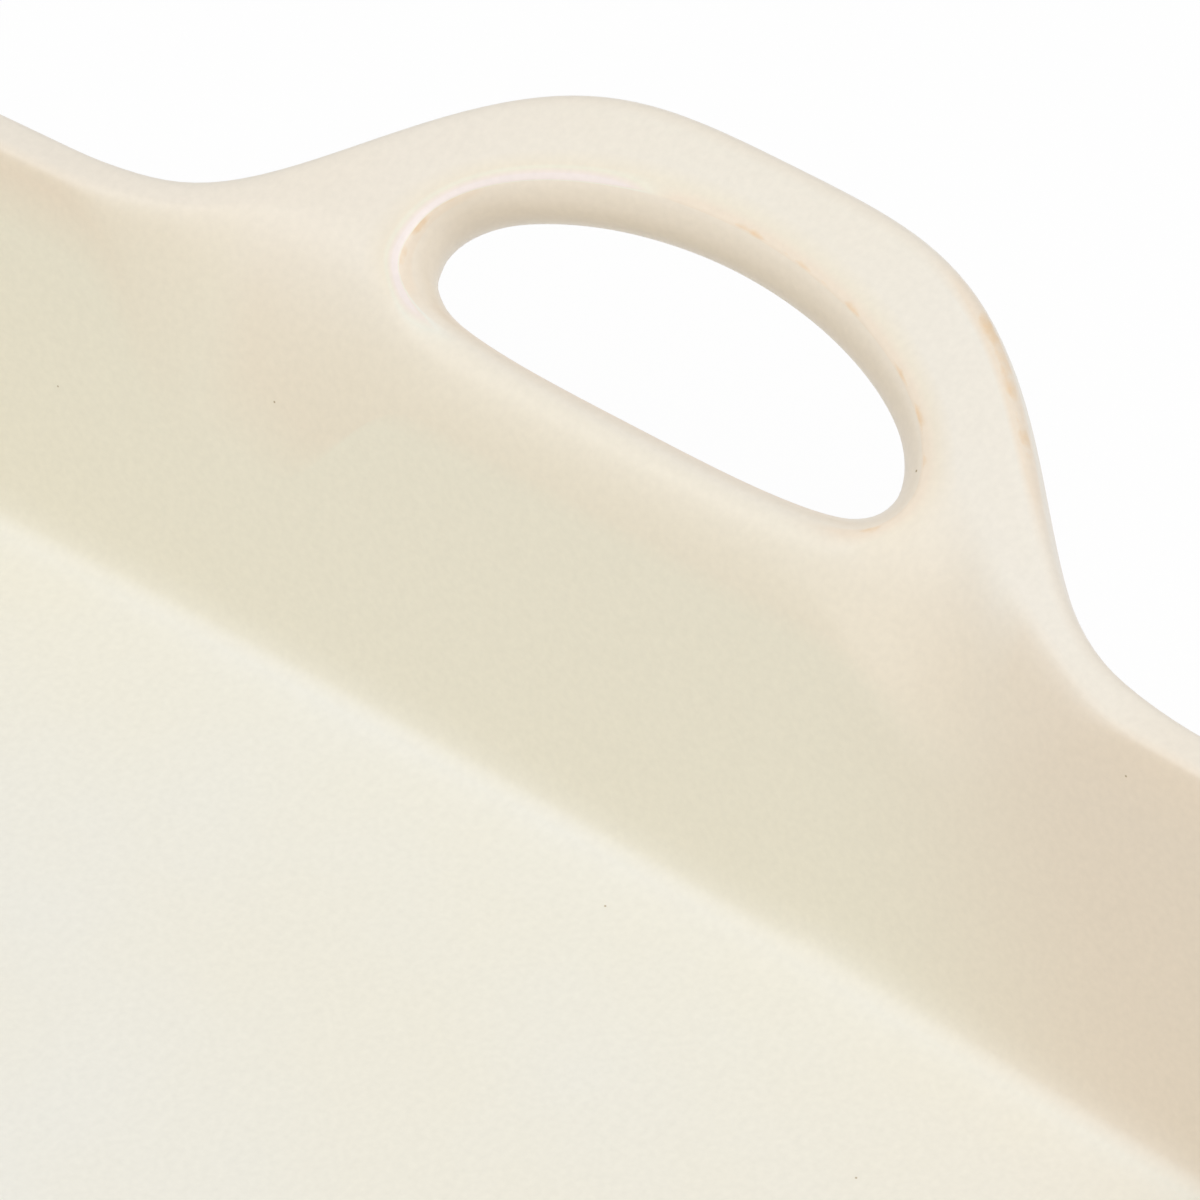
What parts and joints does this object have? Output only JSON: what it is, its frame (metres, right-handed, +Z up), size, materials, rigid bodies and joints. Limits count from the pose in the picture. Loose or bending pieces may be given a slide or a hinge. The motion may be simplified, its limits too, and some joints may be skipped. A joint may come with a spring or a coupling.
{
  "type": "square baking dish",
  "caption": "Square stoneware baking dish with bowed sides, a thin level rim and a tilted, pierced lug handle on each of two opposite sides, glazed cream with a bare foot.",
  "frame": {"origin": "under the middle of the dish, on the plane that its foot stands on", "axes": "+Z up out of the dish, +X through the middle of the two handles, +Y along the sides that carry them"},
  "size_m": [0.2978, 0.2376, 0.0705],
  "materials": {
    "stoneware": "bare fired buff clay, matt",
    "glaze": "satin cream glaze that breaks to tan on edges"
  },
  "bodies": {
    "root": {"dish_body": "stoneware", "right_handle": "stoneware", "left_handle": "stoneware", "liner_glaze": "glaze", "outer_glaze": "glaze", "base_glaze": "glaze", "right_handle_glaze": "glaze", "left_handle_glaze": "glaze"}
  },
  "joints": []
}
